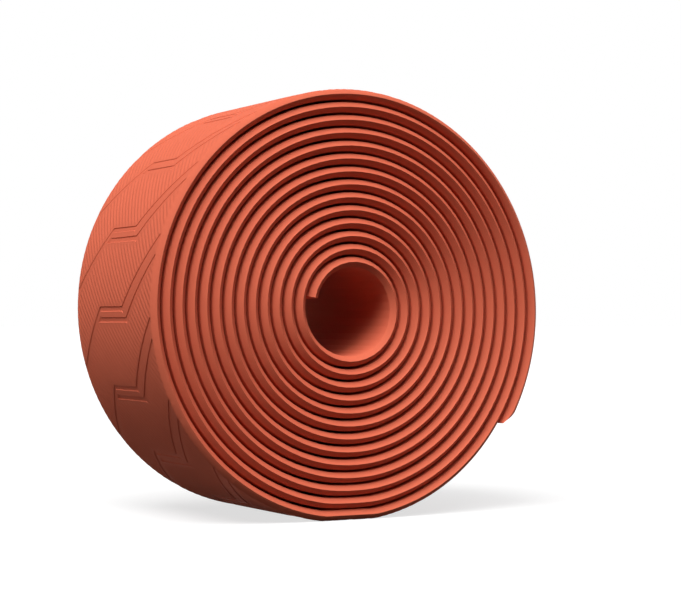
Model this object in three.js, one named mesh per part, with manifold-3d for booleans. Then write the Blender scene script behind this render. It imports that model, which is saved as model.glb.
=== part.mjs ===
// A roll of bicycle handlebar tape: one long strip of soft foam with bevelled edges,
// embossed on its outer face and wound up around an open hole.
// Millimetres, +Z up. The axis of the roll lies along Y, with the front face towards -Y, and
// the roll stands on the small flat that its own weight presses into the lowest turn.

import * as THREE from 'three';
import { mergeVertices } from 'three/addons/utils/BufferGeometryUtils.js';
import Module from 'manifold-3d';

const degrees = THREE.MathUtils.degToRad;
const fullTurn = 2 * Math.PI;

// The strip, unrolled
const tapeLength = 1952;
const tapeWidth = 36;
const tapeThickness = 1.8;
const edgeBevel = 0.95;            // how far in across the width each edge bevel starts
const endTaperLength = 2.6;        // the outer end is pared thin over this length
const endTipThickness = 0.3;

// How it is wound
const holeRadius = 6.77;           // to the inner face of the strip, at its inner end
const turnGap = 0.45;              // air between one turn and the next
const innerEndAngle = degrees(165.8);   // counter-clockwise from +X, seen from the front
const restFlatWidth = 10;          // of the flat that the roll stands on
const chordHeight = 0.09;          // how far a flat facet may cut inside the true curve

// The embossed lines on the outer face, where each repeat is a pair of grooves that run
// slantwise from the front edge, straight across the middle, and on as one to the back edge
const repeatLength = 14.14;        // from one pair of grooves to the next
const firstStepFromEnd = 2;        // from the outer end to the first straight stretch
const stepLength = 10.2;           // of the straight stretch of the first groove
const stepOffset = 0.45;           // of its middle from the middle of the tape
const twinSpacing = 1.95;          // between the two grooves where they run straight
const twinLead = 2.1;              // the second groove turns this much nearer the front
const grooveWidth = 0.8;
const grooveDepth = 0.3;
const cutClearance = 0.25;         // how far a cutting shape stands proud of the face
const grooveFacetLength = 3.5;

// The spiral that the middle of the strip follows: its radius grows evenly with the angle
// that has been wound, counted clockwise from the inner end as seen from the front.
const startRadius = holeRadius + tapeThickness / 2;
const growth = (tapeThickness + turnGap) / fullTurn;

function woundLength(angle, height) {
  return (startRadius + height) * angle + growth * angle ** 2 / 2;
}

function woundAngle(length, height) {
  const radius = startRadius + height;
  return (Math.sqrt(radius ** 2 + 2 * growth * length) - radius) / growth;
}

const endAngle = woundAngle(tapeLength, 0);

// The flat at the bottom: the last turn that passes straight below the axis lies on a plane
// there, and the turns inside it give way less and less.
const firstRestAngle = innerEndAngle + Math.PI / 2;
const restTurn = Math.floor((endAngle - firstRestAngle) / fullTurn);
const roundRestRadius = startRadius + tapeThickness / 2
  + growth * (firstRestAngle + restTurn * fullTurn);
const restHeight = Math.sqrt(roundRestRadius ** 2 - (restFlatWidth / 2) ** 2);
const flatReach = Math.sqrt(growth ** 2 + 2 * restHeight * (roundRestRadius - restHeight));
const flatStart = (growth - flatReach) / restHeight;
const flatEnd = (growth + flatReach) / restHeight;

function pressedIn(angle) {
  const turn = Math.round((angle - firstRestAngle) / fullTurn);
  const pastRest = angle - firstRestAngle - turn * fullTurn;
  if (pastRest < flatStart || pastRest > flatEnd) return 0;
  const roundRadius = roundRestRadius + growth * pastRest;
  const flatRadius = restHeight / Math.cos(pastRest);
  return Math.max(roundRadius - flatRadius, 0) * Math.max(turn, 0) / restTurn;
}

// A point of the wound strip: the angle wound so far, the place across the width counted from
// the front edge, and the height over the middle of the thickness, positive outwards.
function woundPoint(angle, across, height) {
  const radius = startRadius + growth * angle + height - pressedIn(angle);
  const direction = innerEndAngle - angle;
  return new THREE.Vector3(radius * Math.cos(direction), across - tapeWidth / 2,
    radius * Math.sin(direction));
}

// The angles at which the strip bends: both ends of the flat, its middle, and even steps
// round the rest of each turn. The pared end has a step of its own.
function bendAngles() {
  const roundPart = fullTurn - flatEnd + flatStart;
  const angles = [];
  for (let turn = -1; turn <= restTurn; turn++) {
    const restAngle = firstRestAngle + turn * fullTurn;
    const radius = startRadius + growth * (restAngle + fullTurn);
    const facets = Math.ceil(roundPart / (2 * Math.acos(1 - chordHeight / radius)));
    angles.push(restAngle);
    for (let facet = 0; facet <= facets; facet++) {
      angles.push(restAngle + flatEnd + facet * roundPart / facets);
    }
  }
  const taperAngle = woundAngle(tapeLength - endTaperLength, 0);
  const closest = endTaperLength / (startRadius + growth * endAngle) / 4;
  const between = angles.filter(
    (angle) => angle > closest && angle < taperAngle - closest);
  return [0, ...between.sort((first, second) => first - second), taperAngle, endAngle];
}

// The strip's section, with its thickness along x and its width along y: flat faces, and two
// bevels at each edge that meet halfway through the thickness.
function stripSection() {
  const half = tapeThickness / 2;
  return new THREE.Shape([
    new THREE.Vector2(0, 0),
    new THREE.Vector2(half, edgeBevel),
    new THREE.Vector2(half, tapeWidth - edgeBevel),
    new THREE.Vector2(0, tapeWidth),
    new THREE.Vector2(-half, tapeWidth - edgeBevel),
    new THREE.Vector2(-half, edgeBevel),
  ]);
}

function moveVertices(geometry, place) {
  const positions = geometry.attributes.position;
  for (let index = 0; index < positions.count; index++) {
    const point = new THREE.Vector3().fromBufferAttribute(positions, index);
    const moved = place(point);
    positions.setXYZ(index, moved.x, moved.y, moved.z);
  }
  return geometry;
}

// The strip is extruded from its outer end, with one step for each bend, and each step is then
// set at its angle.
function plainRoll() {
  const angles = bendAngles();
  const steps = angles.length - 1;
  const strip = new THREE.ExtrudeGeometry(stripSection(),
    { depth: steps, steps, bevelEnabled: false });
  const half = tapeThickness / 2;
  return moveVertices(strip, (point) => {
    const step = steps - Math.round(point.z);
    const thinned = step === steps ? endTipThickness / tapeThickness : 1;
    const height = -half + (point.x + half) * thinned;
    return woundPoint(angles[step], point.y, height);
  });
}

// One straight stretch of a groove, as the wedge that is cut away. Its ends are given in
// distances along the outer face, from the outer end inwards, and across from the front edge.
function grooveWedge(from, to) {
  const half = tapeThickness / 2;
  const proud = grooveWidth / 2 * (1 + cutClearance / grooveDepth);
  const wedge = new THREE.Shape([
    new THREE.Vector2(0, -grooveDepth),
    new THREE.Vector2(proud, cutClearance),
    new THREE.Vector2(-proud, cutClearance),
  ]);
  const run = new THREE.Vector2().subVectors(to, from);
  const length = run.length();
  const geometry = new THREE.ExtrudeGeometry(wedge, {
    depth: length,
    steps: Math.ceil(length / grooveFacetLength),
    bevelEnabled: false,
  });
  run.normalize();
  const faceLength = woundLength(endAngle, half);
  return moveVertices(geometry, (point) => {
    const fromEnd = from.x + run.x * point.z + run.y * point.x;
    const across = from.y + run.y * point.z - run.x * point.x;
    return woundPoint(woundAngle(faceLength - fromEnd, half), across, half + point.y);
  });
}

// The stretches of one repeat, whose straight middle lies at the given distance from the end.
function grooveRepeat(distance) {
  const front = (tapeWidth - stepLength) / 2 + stepOffset;
  const back = front + stepLength;
  const twinFront = front - twinLead;
  const twinDistance = distance + twinSpacing;
  const at = (fromEnd, across) => new THREE.Vector2(fromEnd, across);
  return [
    grooveWedge(at(distance - front, 0), at(distance, front)),
    grooveWedge(at(distance, front - grooveWidth / 4), at(distance, back + grooveWidth / 4)),
    grooveWedge(at(distance, back), at(distance + tapeWidth - back, tapeWidth)),
    grooveWedge(at(twinDistance - twinFront, 0), at(twinDistance, twinFront)),
    grooveWedge(at(twinDistance, twinFront - grooveWidth / 4),
      at(twinDistance, back + twinSpacing)),
  ];
}

const wasm = await Module();
wasm.setup();

function solidFrom(geometry) {
  const bare = geometry.clone();
  bare.deleteAttribute('normal');
  bare.deleteAttribute('uv');
  const merged = mergeVertices(bare, 1e-4);
  return new wasm.Manifold(new wasm.Mesh({
    numProp: 3,
    vertProperties: new Float32Array(merged.attributes.position.array),
    triVerts: new Uint32Array(merged.index.array),
  }));
}

function geometryFrom(solid) {
  const mesh = solid.getMesh();
  const geometry = new THREE.BufferGeometry();
  geometry.setAttribute('position', new THREE.BufferAttribute(mesh.vertProperties, 3));
  geometry.setIndex(new THREE.BufferAttribute(mesh.triVerts, 1));
  return geometry;
}

// Only the outermost turn shows its outer face, so the lines are cut into that turn. Those at
// its far side run on a little way under the outer end.
function embossedRoll() {
  let solid = solidFrom(plainRoll());
  const half = tapeThickness / 2;
  const lastTurnLength = woundLength(endAngle, half) - woundLength(endAngle - fullTurn, half);
  const slantReach = tapeWidth / 2;
  const repeats = Math.ceil((lastTurnLength + slantReach - firstStepFromEnd) / repeatLength);
  for (let repeat = 0; repeat < repeats; repeat++) {
    for (const wedge of grooveRepeat(firstStepFromEnd + repeat * repeatLength)) {
      solid = solid.subtract(solidFrom(wedge));
    }
  }
  return geometryFrom(solid);
}

const foam = new THREE.MeshStandardMaterial({ color: 0xd9603f, roughness: 0.8, metalness: 0 });
const tape = new THREE.Mesh(embossedRoll(), foam);
tape.name = 'tape_strip';

// The origin is below the middle of the roll, on the surface that it stands on.
tape.geometry.computeBoundingBox();
const middle = tape.geometry.boundingBox.getCenter(new THREE.Vector3());
tape.position.set(-middle.x, -middle.y, restHeight);

const roll = new THREE.Group();
roll.add(tape);

export default roll;
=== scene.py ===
import math
import bmesh
import bpy
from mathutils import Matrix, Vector


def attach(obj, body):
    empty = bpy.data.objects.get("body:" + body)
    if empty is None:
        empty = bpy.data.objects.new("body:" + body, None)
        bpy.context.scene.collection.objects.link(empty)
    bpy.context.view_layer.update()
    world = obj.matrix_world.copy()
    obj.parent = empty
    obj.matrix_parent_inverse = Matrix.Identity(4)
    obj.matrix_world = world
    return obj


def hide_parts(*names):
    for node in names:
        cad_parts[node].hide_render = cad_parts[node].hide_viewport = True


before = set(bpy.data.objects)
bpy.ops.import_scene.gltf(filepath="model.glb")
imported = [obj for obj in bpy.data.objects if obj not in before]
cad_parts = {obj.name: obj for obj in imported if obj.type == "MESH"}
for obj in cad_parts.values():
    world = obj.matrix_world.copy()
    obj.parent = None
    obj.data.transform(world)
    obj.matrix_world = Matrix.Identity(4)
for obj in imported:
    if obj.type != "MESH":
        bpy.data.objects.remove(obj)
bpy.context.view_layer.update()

mm = 0.001

# Camera
# It stands to the left of the roll's axis and level with the hole, so that it sees the whole
# spiral face and a slice of the embossed outer face.
tape_width = 36 * mm
axis_height = 36.83 * mm
axis_side = -0.56 * mm
view_turn = math.radians(28.24)
view_rise = math.radians(0.53)
camera_distance = 329.45 * mm
target_left_of_axis = 2.55 * mm
target_above_axis = 0.76 * mm
camera_target = Vector((axis_side - target_left_of_axis, -tape_width / 2,
                        axis_height + target_above_axis))
focal_length = 100.41
sensor_width = 36

camera_data = bpy.data.cameras.new("camera")
camera_data.sensor_width = sensor_width
camera_data.lens = focal_length
camera = bpy.data.objects.new("camera", camera_data)
bpy.context.collection.objects.link(camera)
view_direction = Vector((math.sin(view_turn) * math.cos(view_rise),
                         math.cos(view_turn) * math.cos(view_rise),
                         math.sin(view_rise)))
camera.location = camera_target - view_direction * camera_distance
camera.rotation_euler = view_direction.to_track_quat("-Z", "Y").to_euler()
bpy.context.scene.camera = camera

# Tape strip
# The tape is a long strip of polyurethane foam. It is embossed and cut flat, with both edges
# bevelled to a ridge halfway through the thickness, and then wound up tight from one end.
tape_length = 1952 * mm
tape_thickness = 1.8 * mm
edge_bevel = 0.95 * mm
end_taper_length = 3.4 * mm
end_taper_curve = 1.7
end_tip_thickness = 0.15 * mm
hole_radius = 6.77 * mm
turn_gap = 0.45 * mm
inner_end_angle = math.radians(165.8)
rest_flat_width = 10 * mm
give_way = 0.5
half_thickness = tape_thickness / 2

# The embossed field: ribs at 45 degrees, four cells of the mesh to each rib, and repeats of
# forty cells that each hold a pair of grooves. Beside a groove the ribs are only a part of
# their height. Rows are counted from the front shoulder, and columns from the outer end.
rib_pitch = 1.0 * mm
rib_height = 0.13 * mm
beside_groove = 0.3
cells_per_rib = 4
repeat_cells = 40
repeats = 17
field_rows = 96
cell = rib_pitch * math.sqrt(2) / cells_per_rib
row_width = (tape_width - 2 * edge_bevel) / field_rows
groove_depth = 0.14 * mm

# Each groove is a flat channel with steep walls. A stretch of one has the column and the row
# that it starts at, its last row, whether it runs slantwise, how far its middle lies past the
# column, and half its width at the floor and at the shoulders.
step_column = 6
twin_column = 11
groove_stretches = [
    (step_column - 35, 0, 35, 1, -0.22 * mm, (0.33 * mm, 0.45 * mm)),
    (step_column, 35, 64, 0, -0.15 * mm, (0.35 * mm, 0.47 * mm)),
    (step_column, 64, field_rows, 1, 0.12 * mm, (0.33 * mm, 0.45 * mm, 0.66 * mm)),
    (twin_column - 30, 0, 30, 1, -0.09 * mm, (0.33 * mm, 0.45 * mm)),
    (twin_column, 30, 69, 0, -0.03 * mm, (0.35 * mm, 0.47 * mm)),
]

start_radius = hole_radius + half_thickness
growth = (tape_thickness + turn_gap) / math.tau
end_angle = (math.sqrt(start_radius ** 2 + 2 * growth * tape_length) - start_radius) / growth
end_radius = start_radius + growth * end_angle


def middle_column(stretch, row):
    """The column that the middle of a stretch runs through at a row."""
    column, first_row, last_row, slant = stretch[:4]
    return column + slant * (row - first_row)


def place_in_groove(column, row):
    """The depth at a cell corner and its shift along the tape, or None outside the grooves."""
    for stretch in groove_stretches:
        first_row, last_row, slant, past, half_widths = stretch[1:]
        if not first_row <= row <= last_row:
            continue
        for repeat_shift in (-repeat_cells, 0, repeat_cells):
            rank = column - middle_column(stretch, row) - repeat_shift
            if abs(rank) > len(half_widths):
                continue
            depth = 0 if abs(rank) == len(half_widths) else groove_depth
            if rank == 0:
                return depth, past
            widening = math.sqrt(2) if slant else 1
            wall = half_widths[abs(rank) - 1] * widening
            side = 1 if rank > 0 else -1
            return depth, past + side * wall - rank * cell
    return None


def slants_at(column, row):
    """True at a cell corner that lies on a slanting stretch of a groove, or next to its wall."""
    for stretch in groove_stretches:
        first_row, last_row, slant, past, half_widths = stretch[1:]
        if not slant or not first_row < row < last_row:
            continue
        rank = (column - middle_column(stretch, row) + repeat_cells / 2) % repeat_cells
        if abs(rank - repeat_cells / 2) < len(half_widths):
            return True
    return False


def between_twins(column, row):
    """True on the smooth band that lies between the two grooves of a pair."""
    edges = []
    for stretches in (groove_stretches[:3], groove_stretches[3:]):
        edges += [middle_column(stretch, row) for stretch in stretches
                  if stretch[1] <= row <= stretch[2]][:1]
    if len(edges) < 2:
        return False
    return any(edges[0] <= column - repeat_shift <= edges[1]
               for repeat_shift in (-repeat_cells, 0, repeat_cells))


def relief_at(column, row):
    """The height of a cell corner over the plain face, and its shift along the tape."""
    groove = place_in_groove(column, row)
    if groove:
        return -groove[0], groove[1]
    if between_twins(column, row):
        return 0, 0
    beside = place_in_groove(column - 1, row) or place_in_groove(column + 1, row)
    height = rib_height / 2 * (beside_groove if beside else 1)
    phase = math.tau * (column + row) / cells_per_rib + math.pi / cells_per_rib
    return height * math.sin(phase), 0


def select_edges(mesh_object, wanted):
    """Select the edges whose two ends both pass the test, and stay in edit mode."""
    bpy.ops.object.mode_set(mode="EDIT")
    bpy.ops.mesh.select_mode(type="EDGE")
    shape = bmesh.from_edit_mesh(mesh_object.data)
    for face in shape.faces:
        face.select_set(False)
    for edge in shape.edges:
        edge.select_set(all(wanted(vertex.co) for vertex in edge.verts))
    shape.select_flush_mode()
    bmesh.update_edit_mesh(mesh_object.data)


def near(value, place):
    """True where a coordinate is the same as a place, but for rounding."""
    rounding = 0.001 * mm
    return abs(value - place) < rounding


def add_edges_and_back(mesh_object):
    """Extrude both sides of an outer face down over the bevels, and join them below."""
    for side, outward in ((edge_bevel, -1), (tape_width - edge_bevel, 1)):
        select_edges(mesh_object, lambda place: near(place.y, side))
        for direction in (outward, -outward):
            bpy.ops.mesh.extrude_region_move(TRANSFORM_OT_translate={
                "value": (0, direction * edge_bevel, -half_thickness)})
    select_edges(mesh_object, lambda place: near(place.z, -half_thickness))
    bpy.ops.mesh.bridge_edge_loops()
    bpy.ops.object.mode_set(mode="OBJECT")


def deselect_all():
    """Leave edit mode and deselect every object, before an operator runs."""
    if bpy.context.mode != "OBJECT":
        bpy.ops.object.mode_set(mode="OBJECT")
    bpy.ops.object.select_all(action="DESELECT")


# The outermost turn starts as a grid on the outer face.
deselect_all()
outer_radius = end_radius - growth * math.pi + half_thickness
column_length = cell * (outer_radius - half_thickness) / outer_radius
embossed_length = repeats * repeat_cells * column_length
embossed_start = tape_length - embossed_length
bpy.ops.mesh.primitive_grid_add(x_subdivisions=repeats * repeat_cells,
                                y_subdivisions=field_rows, size=1)
embossed = bpy.context.object
embossed.name = "tape_strip_dressed"
one_repeat = {(column, row): relief_at(column, row)
              for column in range(repeat_cells) for row in range(1, field_rows)}
corner_places = []
for vertex in embossed.data.vertices:
    column = round((0.5 - vertex.co.x) * repeats * repeat_cells)
    row = round((vertex.co.y + 0.5) * field_rows)
    corner_places.append((column % repeat_cells, row))
    height, shift = one_repeat.get(corner_places[-1], (0, 0))
    if column in (0, repeats * repeat_cells):
        height = shift = 0
    along = tape_length - column * column_length - shift
    vertex.co = (along, edge_bevel + row * row_width, half_thickness + height)

# Each cell is split along the line that it lies on: a slanting groove, or a rib.
bpy.ops.object.mode_set(mode="EDIT")
bpy.ops.mesh.select_mode(type="FACE")
bpy.ops.mesh.select_all(action="DESELECT")
bpy.ops.object.mode_set(mode="OBJECT")
for face in embossed.data.polygons:
    face.select = any(slants_at(*corner_places[corner]) for corner in face.vertices)
bpy.ops.object.mode_set(mode="EDIT")
bpy.ops.mesh.quads_convert_to_tris(quad_method="FIXED_ALTERNATE")
bpy.ops.mesh.select_all(action="SELECT")
bpy.ops.mesh.quads_convert_to_tris(quad_method="FIXED")
bpy.ops.object.mode_set(mode="OBJECT")
add_edges_and_back(embossed)

# The turns inside it are plain, because nothing shows of their outer face.
target_step = 1.6 * mm
plain_steps = round(embossed_start / target_step)
plain_step = embossed_start / plain_steps
merge_distance = 0.01 * mm
deselect_all()
bpy.ops.mesh.primitive_plane_add(size=1)
plain = bpy.context.object
for vertex in plain.data.vertices:
    vertex.co = ((vertex.co.x + 0.5) * plain_step,
                 edge_bevel + (vertex.co.y + 0.5) * field_rows * row_width, half_thickness)
add_edges_and_back(plain)
array = plain.modifiers.new("turns", "ARRAY")
array.count = plain_steps
array.use_merge_vertices = True
array.merge_threshold = merge_distance
bpy.ops.object.modifier_apply(modifier=array.name)

# The rounding of the array's many steps adds up, so its far end is set right. Where the two
# meet, the plain stretch then gets the vertices of the embossed one.
array_end = max(vertex.co.x for vertex in plain.data.vertices)
for vertex in plain.data.vertices:
    vertex.co.x *= embossed_start / array_end
select_edges(plain, lambda place: near(place.x, embossed_start)
             and near(place.z, half_thickness))
bpy.ops.mesh.subdivide(number_cuts=field_rows - 1, ngon=True)
bpy.ops.object.mode_set(mode="OBJECT")
deselect_all()
plain.select_set(True)
embossed.select_set(True)
bpy.context.view_layer.objects.active = embossed
bpy.ops.object.join()
bpy.ops.object.mode_set(mode="EDIT")
bpy.ops.mesh.select_all(action="SELECT")
bpy.ops.mesh.remove_doubles(threshold=merge_distance)

# The ridge and the shoulders are rounded a little, as cut foam is, and both ends are closed.
ridge_rounding = 0.05 * mm
shoulder_rounding = 0.12 * mm
select_edges(embossed, lambda place: near(place.z, 0))
bpy.ops.mesh.bevel(offset=ridge_rounding, segments=2, affect="EDGES")
select_edges(embossed, lambda place: near(abs(place.z), half_thickness)
             and (near(place.y, edge_bevel) or near(place.y, tape_width - edge_bevel)))
bpy.ops.mesh.bevel(offset=shoulder_rounding, segments=1, affect="EDGES")
for end in (0, tape_length):
    select_edges(embossed, lambda place: near(place.x, end))
    bpy.ops.mesh.edge_face_add()
bpy.ops.mesh.select_all(action="SELECT")
bpy.ops.mesh.normals_make_consistent(inside=False)
bpy.ops.object.mode_set(mode="OBJECT")

# The outer end is pared thin from the outer side, and more and more towards its tip.
for vertex in embossed.data.vertices:
    into_taper = (vertex.co.x - tape_length + end_taper_length) / end_taper_length
    if into_taper > 0:
        pared = into_taper ** end_taper_curve
        thinned = 1 - pared * (1 - end_tip_thickness / tape_thickness)
        vertex.co.z = (vertex.co.z + half_thickness) * thinned - half_thickness

# The path that the tape is wound on: a spiral whose lowest turn is pressed flat where the
# roll stands, and where each turn inside it gives way half as much.
path_step = math.radians(1.5)
first_rest_angle = inner_end_angle + math.pi / 2
rest_turn = math.floor((end_angle - first_rest_angle) / math.tau)
round_rest_radius = (start_radius + half_thickness
                     + growth * (first_rest_angle + rest_turn * math.tau))
rest_height = math.sqrt(round_rest_radius ** 2 - (rest_flat_width / 2) ** 2)
flat_reach = math.radians(12)


def pressed_in(angle):
    """How far the path gives way towards the axis at an angle wound from the inner end."""
    turn = round((angle - first_rest_angle) / math.tau)
    past_rest = angle - first_rest_angle - turn * math.tau
    if abs(past_rest) > flat_reach:
        return 0
    round_radius = round_rest_radius + growth * past_rest
    flat = max(round_radius - rest_height / math.cos(past_rest), 0)
    return flat * give_way ** (rest_turn - turn)


path_data = bpy.data.curves.new("winding_path", "CURVE")
path_data.dimensions = "2D"
path_points = math.ceil(end_angle / path_step) + 1
spline = path_data.splines.new("POLY")
spline.points.add(path_points - 1)
for index, point in enumerate(spline.points):
    angle = end_angle * index / (path_points - 1)
    radius = start_radius + growth * angle - pressed_in(angle)
    direction = inner_end_angle - angle
    point.co = (radius * math.cos(direction), radius * math.sin(direction), 0, 1)
path = bpy.data.objects.new("winding_path", path_data)
bpy.context.collection.objects.link(path)
path.rotation_euler = (math.pi / 2, 0, 0)
bpy.context.view_layer.update()

deselect_all()
embossed.select_set(True)
bpy.context.view_layer.objects.active = embossed
winding = embossed.modifiers.new("winding", "CURVE")
winding.object = path
winding.deform_axis = "POS_X"
bpy.ops.object.modifier_apply(modifier=winding.name)
bpy.data.objects.remove(path)
embossed.location = (axis_side, -tape_width / 2, axis_height)
bpy.ops.object.transform_apply(location=True, rotation=True, scale=True)
sharpest_smooth_bend = math.radians(25)
bpy.ops.object.shade_smooth_by_angle(angle=sharpest_smooth_bend)
even_faces = embossed.modifiers.new("even_faces", "WEIGHTED_NORMAL")
even_faces.keep_sharp = True
bpy.ops.object.modifier_apply(modifier=even_faces.name)


def srgb(hex_colour):
    """A colour written as an sRGB hex value, as the linear values that a socket takes."""
    channels = [int(hex_colour[place:place + 2], 16) / 255 for place in (1, 3, 5)]
    return [value / 12.92 if value <= 0.04045 else ((value + 0.055) / 1.055) ** 2.4
            for value in channels] + [1]


def add_node(tree, kind, settings=None, links=None):
    """Add a node, set its properties and sockets, and link other sockets into it."""
    node = tree.nodes.new(kind)
    for name, value in (settings or {}).items():
        if isinstance(name, int) or name in node.inputs:
            node.inputs[name].default_value = value
        else:
            setattr(node, name, value)
    for name, source in (links or {}).items():
        tree.links.new(source, node.inputs[name])
    return node


# Polyurethane foam, moulded with a soft skin: matt, dyed through, with a faint cloudiness in
# the dye and a fine pore grain that only just breaks up the light.
foam = bpy.data.materials.new("polyurethane_foam")
foam.use_nodes = True
tree = foam.node_tree
shader = tree.nodes["Principled BSDF"]
shader.inputs["Roughness"].default_value = 0.7
shader.inputs["Specular IOR Level"].default_value = 0.05
texture_place = add_node(tree, "ShaderNodeTexCoord")
cloud_size = 6.0 * mm
cloud = add_node(tree, "ShaderNodeTexNoise", {"Scale": 1 / cloud_size, "Detail": 3.0},
                 {"Vector": texture_place.outputs["Object"]})
dye = add_node(tree, "ShaderNodeMix", {"data_type": "RGBA"}, {0: cloud.outputs["Fac"]})
dye.inputs[6].default_value = srgb("#D76A4F")
dye.inputs[7].default_value = srgb("#DD6E52")
tree.links.new(dye.outputs[2], shader.inputs["Base Color"])
pore_size = 0.25 * mm
pore_depth = 0.02 * mm
pores = add_node(tree, "ShaderNodeTexNoise", {"Scale": 1 / pore_size, "Detail": 2.0},
                 {"Vector": texture_place.outputs["Object"]})
grain = add_node(tree, "ShaderNodeBump", {"Strength": 0.15, "Distance": pore_depth},
                 {"Height": pores.outputs["Fac"]})
tree.links.new(grain.outputs["Normal"], shader.inputs["Normal"])
embossed.data.materials.clear()
embossed.data.materials.append(foam)

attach(embossed, "root")
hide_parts("tape_strip")

# Studio
# A plain white floor and large soft lamps: the main one high at the left, one nearly overhead,
# and weak ones at the front, low at the left and low behind the right side.
# The floor and the world look bright, but send little light back up at the roll, so that the
# air between its turns stays dark.
floor_size = 20


def seen_directly(tree):
    """The socket that is 1 where the camera looks, straight, mirrored or through glass."""
    rays = add_node(tree, "ShaderNodeLightPath")
    seen = add_node(tree, "ShaderNodeMath", {"operation": "MAXIMUM"},
                    {0: rays.outputs["Is Camera Ray"], 1: rays.outputs["Is Glossy Ray"]})
    seen = add_node(tree, "ShaderNodeMath", {"operation": "MAXIMUM"},
                    {0: seen.outputs[0], 1: rays.outputs["Is Transmission Ray"]})
    return seen.outputs[0]


deselect_all()
bpy.ops.mesh.primitive_plane_add(size=floor_size)
floor = bpy.context.object
floor.name = "floor"
white = bpy.data.materials.new("white_floor")
white.use_nodes = True
tree = white.node_tree
tree.nodes.clear()
seen = seen_directly(tree)
glow_strength = 0.70
glow = add_node(tree, "ShaderNodeMath", {"operation": "MULTIPLY", 1: glow_strength},
                {0: seen})
light = add_node(tree, "ShaderNodeEmission", {"Color": srgb("#FFFFFF")},
                 {"Strength": glow.outputs[0]})
paper = add_node(tree, "ShaderNodeBsdfDiffuse", {"Color": srgb("#A0A0A0")})
dim_paper = add_node(tree, "ShaderNodeBsdfDiffuse", {"Color": srgb("#484848")})
shaded = add_node(tree, "ShaderNodeMixShader", None,
                  {0: seen, 1: dim_paper.outputs[0], 2: paper.outputs[0]})
both = add_node(tree, "ShaderNodeAddShader", None, {0: light.outputs[0], 1: shaded.outputs[0]})
add_node(tree, "ShaderNodeOutputMaterial", None, {"Surface": both.outputs[0]})
floor.data.materials.append(white)

world = bpy.data.worlds.new("studio")
bpy.context.scene.world = world
world.use_nodes = True
tree = world.node_tree
tree.nodes.clear()
fill = add_node(tree, "ShaderNodeBackground", {"Color": srgb("#FFFFFF"), "Strength": 0.01})
shown = add_node(tree, "ShaderNodeBackground", {"Color": srgb("#FFFFFF"), "Strength": 1.0})
mixed = add_node(tree, "ShaderNodeMixShader", None,
                 {0: seen_directly(tree), 1: fill.outputs[0], 2: shown.outputs[0]})
add_node(tree, "ShaderNodeOutputWorld", None, {"Surface": mixed.outputs[0]})


def add_lamp(name, turn, rise, brightness, softness):
    """A far lamp: turn is from the front towards +X, and all angles are in degrees."""
    data = bpy.data.lights.new(name, "SUN")
    data.angle = math.radians(softness)
    data.energy = brightness * math.pi
    lamp = bpy.data.objects.new(name, data)
    bpy.context.collection.objects.link(lamp)
    side, height = math.radians(turn), math.radians(rise)
    away = Vector((math.sin(side) * math.cos(height), -math.cos(side) * math.cos(height),
                   math.sin(height)))
    lamp.location = away
    lamp.rotation_euler = away.to_track_quat("Z", "Y").to_euler()


add_lamp("key_lamp", -53, 57, 0.84, 35)
add_lamp("top_lamp", -30, 74, 0.16, 50)
add_lamp("front_lamp", -20, 48, 0.28, 30)
add_lamp("right_lamp", 35, 50, 0.12, 30)
add_lamp("left_lamp", -90, 8, 0.12, 40)
add_lamp("back_lamp", 122, 8, 0.2, 40)

bpy.context.scene.view_settings.view_transform = "Standard"
